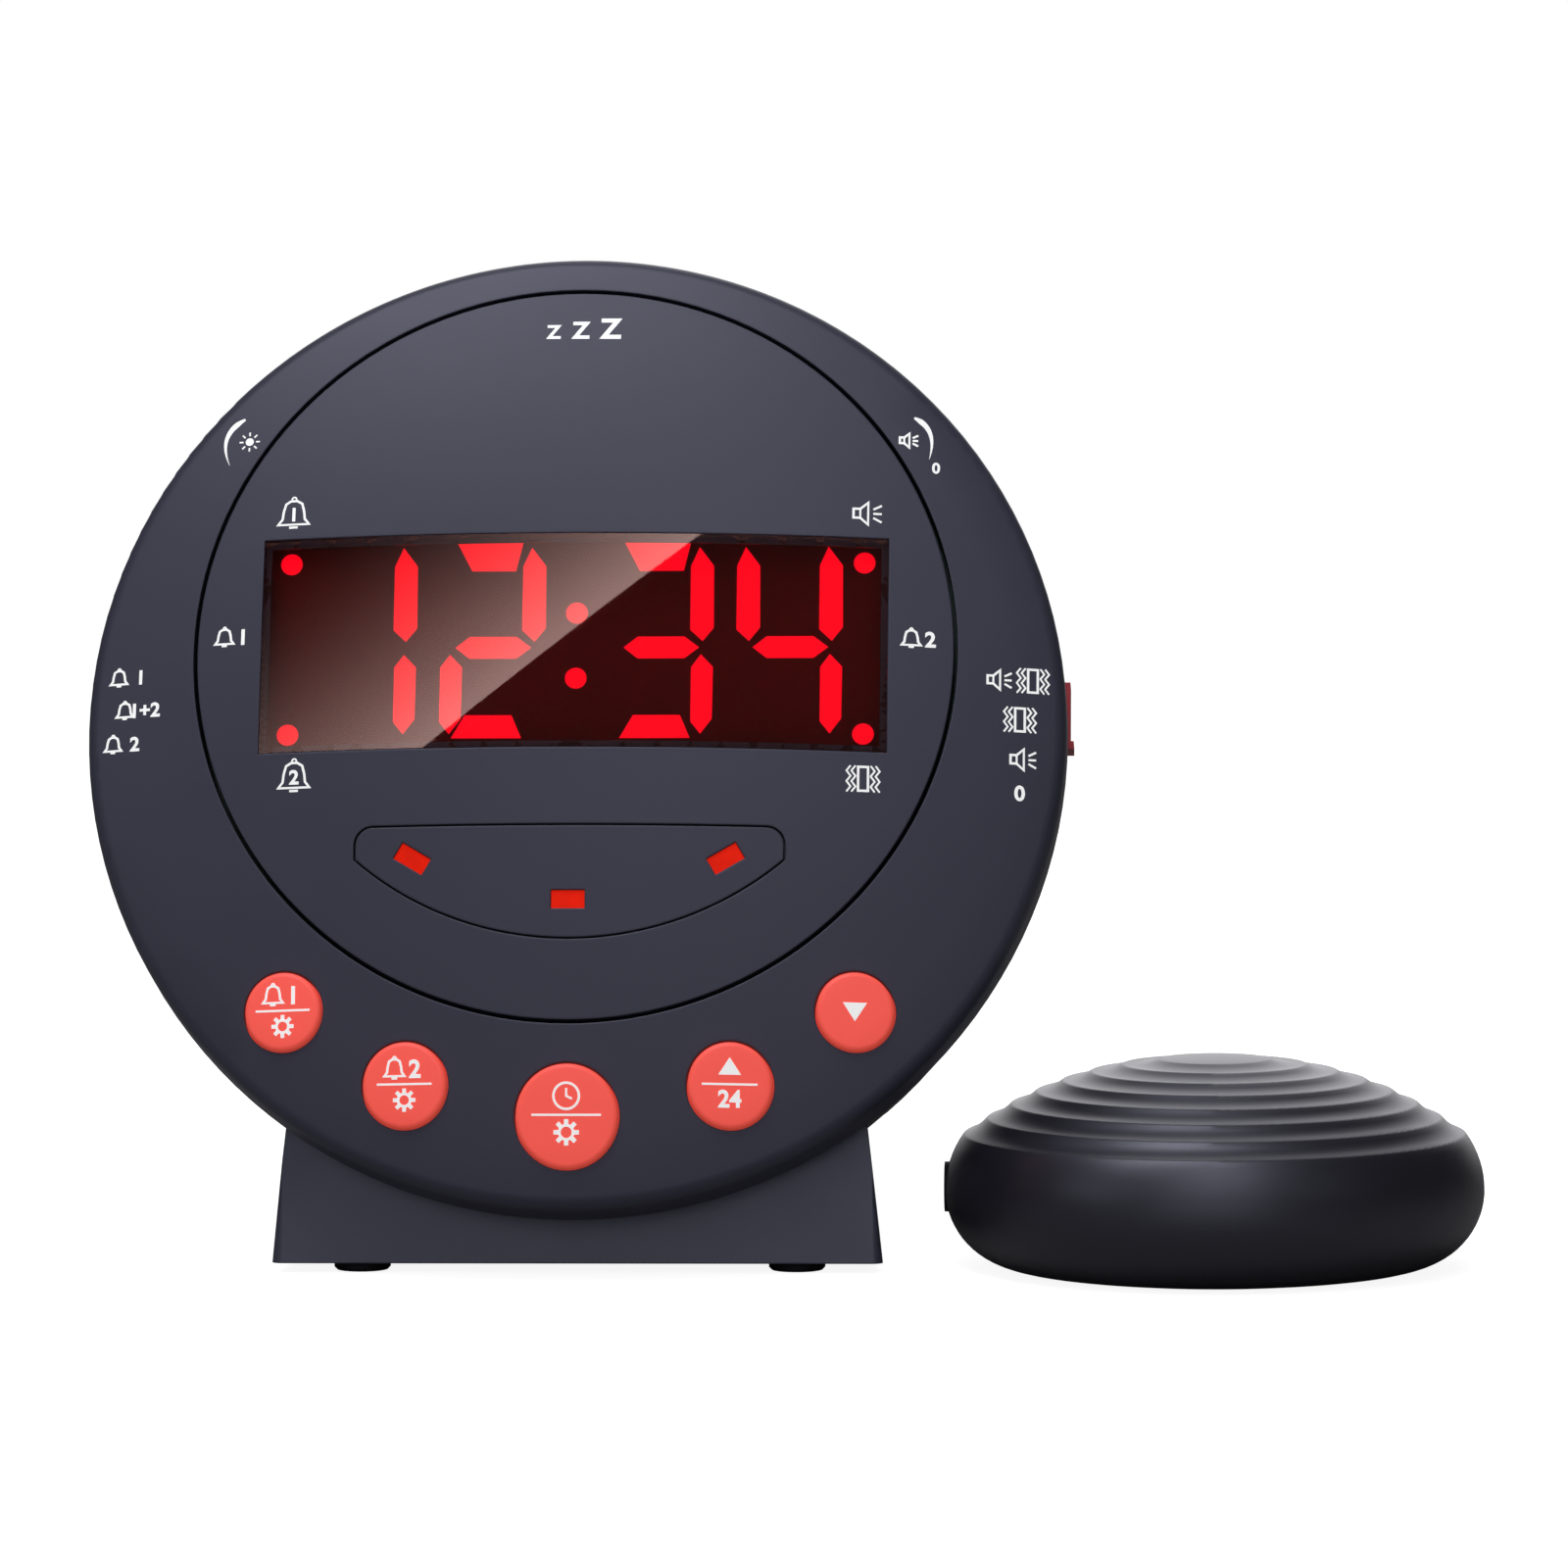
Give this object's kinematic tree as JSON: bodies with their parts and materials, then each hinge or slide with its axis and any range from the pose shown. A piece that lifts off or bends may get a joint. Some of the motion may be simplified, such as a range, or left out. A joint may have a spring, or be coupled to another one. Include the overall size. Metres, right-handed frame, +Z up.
{
  "type": "bed shaker alarm clock",
  "caption": "Round red-digit alarm clock on a plinth, with coral buttons and a ripple-topped puck that shakes the bed.",
  "frame": {"origin": "on the table under the middle of the pair", "axes": "+X to the right of someone who faces the clock, +Y away from that person, +Z up"},
  "size_m": [0.2, 0.0893, 0.1439],
  "materials": {
    "casing": "fine satin texture",
    "black_plastic": "satin",
    "white_plastic": "satin",
    "coral": "satin, soft touch",
    "red_knob": "satin",
    "tinted_window": "clear tinted acrylic, polished",
    "red_lens": "clear red, polished",
    "lit_red": "lit segments",
    "steel": "zinc plated",
    "control_metal": "plated",
    "nickel": "nickel plated",
    "cell_metal": "plated can",
    "board": "green solder mask",
    "paper": "pressed paper",
    "rubber": "matte",
    "shaker_gloss": "satin gloss",
    "brass": "turned"
  },
  "bodies": {
    "clock": {"front_bezel": "casing", "rear_housing": "casing", "stand": "casing", "stand_base_plate": "casing", "alert_lamps": "red_lens", "display_digits": "lit_red", "display_module": "black_plastic", "snooze_hinge_pins": "steel", "main_board": "board", "socket_board": "board", "push_switches": "black_plastic", "dimmer_control": "control_metal", "volume_control": "control_metal", "alarm_select_switch": "control_metal", "mode_select_switch": "control_metal", "speaker_frame": "steel", "speaker_cone": "paper", "speaker_screws": "steel", "backup_cells": "cell_metal", "battery_contacts": "nickel", "power_socket": "black_plastic", "shaker_socket": "black_plastic", "housing_screws": "steel", "board_screws": "steel", "head_screws": "steel", "stand_screws": "steel", "rubber_feet": "rubber"},
    "snooze": {"snooze_panel": "casing", "display_window": "tinted_window", "alert_insert": "casing", "alert_lenses": "red_lens", "plunger_snooze": "white_plastic"},
    "dimmer": {"dimmer_wheel": "black_plastic"},
    "volume": {"volume_wheel": "black_plastic"},
    "alarm_select": {"alarm_select_knob": "red_knob"},
    "mode_select": {"mode_select_knob": "red_knob"},
    "battery_cover": {"battery_door": "casing"},
    "shaker": {"shaker_top_shell": "shaker_gloss", "shaker_bottom_shell": "shaker_gloss", "shaker_motor": "cell_metal", "motor_clamp": "steel", "clamp_screws": "steel", "cord_gland": "rubber", "shaker_screws": "steel", "shaker_base_pad": "rubber"},
    "shaker_rotor": {"motor_shaft": "steel", "eccentric_weight": "brass"},
    "key_alarm_1": {"button_alarm_1": "coral", "plunger_alarm_1": "white_plastic"},
    "key_alarm_2": {"button_alarm_2": "coral", "plunger_alarm_2": "white_plastic"},
    "key_time": {"button_time": "coral", "plunger_time": "white_plastic"},
    "key_up": {"button_up": "coral", "plunger_up": "white_plastic"},
    "key_down": {"button_down": "coral", "plunger_down": "white_plastic"}
  },
  "joints": [
    {"name": "snooze_press", "type": "hinge", "parent": "clock", "child": "snooze", "pos_m": [-0.02965, -0.02194, 0.03998], "axis": [-1, 0, 0], "range_deg": [0, 0.7], "stiffness_Nm_per_rad": 4},
    {"name": "key_alarm_1_press", "type": "slide", "parent": "clock", "child": "key_alarm_1", "axis": [0, 0.9507, -0.31], "range_m": [0, 0.0008], "stiffness_N_per_m": 900},
    {"name": "key_alarm_2_press", "type": "slide", "parent": "clock", "child": "key_alarm_2", "axis": [0, 0.9507, -0.31], "range_m": [0, 0.0008], "stiffness_N_per_m": 900},
    {"name": "key_time_press", "type": "slide", "parent": "clock", "child": "key_time", "axis": [0, 0.9507, -0.31], "range_m": [0, 0.0008], "stiffness_N_per_m": 900},
    {"name": "key_up_press", "type": "slide", "parent": "clock", "child": "key_up", "axis": [0, 0.9507, -0.31], "range_m": [0, 0.0008], "stiffness_N_per_m": 900},
    {"name": "key_down_press", "type": "slide", "parent": "clock", "child": "key_down", "axis": [0, 0.9507, -0.31], "range_m": [0, 0.0008], "stiffness_N_per_m": 900},
    {"name": "dimmer_turn", "type": "hinge", "parent": "clock", "child": "dimmer", "pos_m": [-0.07446, 0.0149, 0.10907], "axis": [0, -0.9507, 0.31], "range_deg": [-130, 130]},
    {"name": "volume_turn", "type": "hinge", "parent": "clock", "child": "volume", "pos_m": [0.01516, 0.0149, 0.10907], "axis": [0, -0.9507, 0.31], "range_deg": [-130, 130]},
    {"name": "alarm_select_slide", "type": "slide", "parent": "clock", "child": "alarm_select", "axis": [0, 0.31, 0.9507], "range_m": [-0.003, 0.003]},
    {"name": "mode_select_slide", "type": "slide", "parent": "clock", "child": "mode_select", "axis": [0, -0.31, -0.9507], "range_m": [0, 0.009]},
    {"name": "battery_door_swing", "type": "hinge", "parent": "clock", "child": "battery_cover", "pos_m": [-0.02965, 0.01518, 0.03639], "axis": [-1, 0, 0], "range_deg": [0, 95]},
    {"name": "shaker_draw_aside", "type": "slide", "parent": "clock", "child": "shaker", "axis": [1, 0, 0], "range_m": [0, 0.2]},
    {"name": "shaker_spin", "type": "hinge", "parent": "shaker", "child": "shaker_rotor", "pos_m": [0.07615, -0.00615, 0.0143], "axis": [1, 0, 0], "continuous": true}
  ]
}
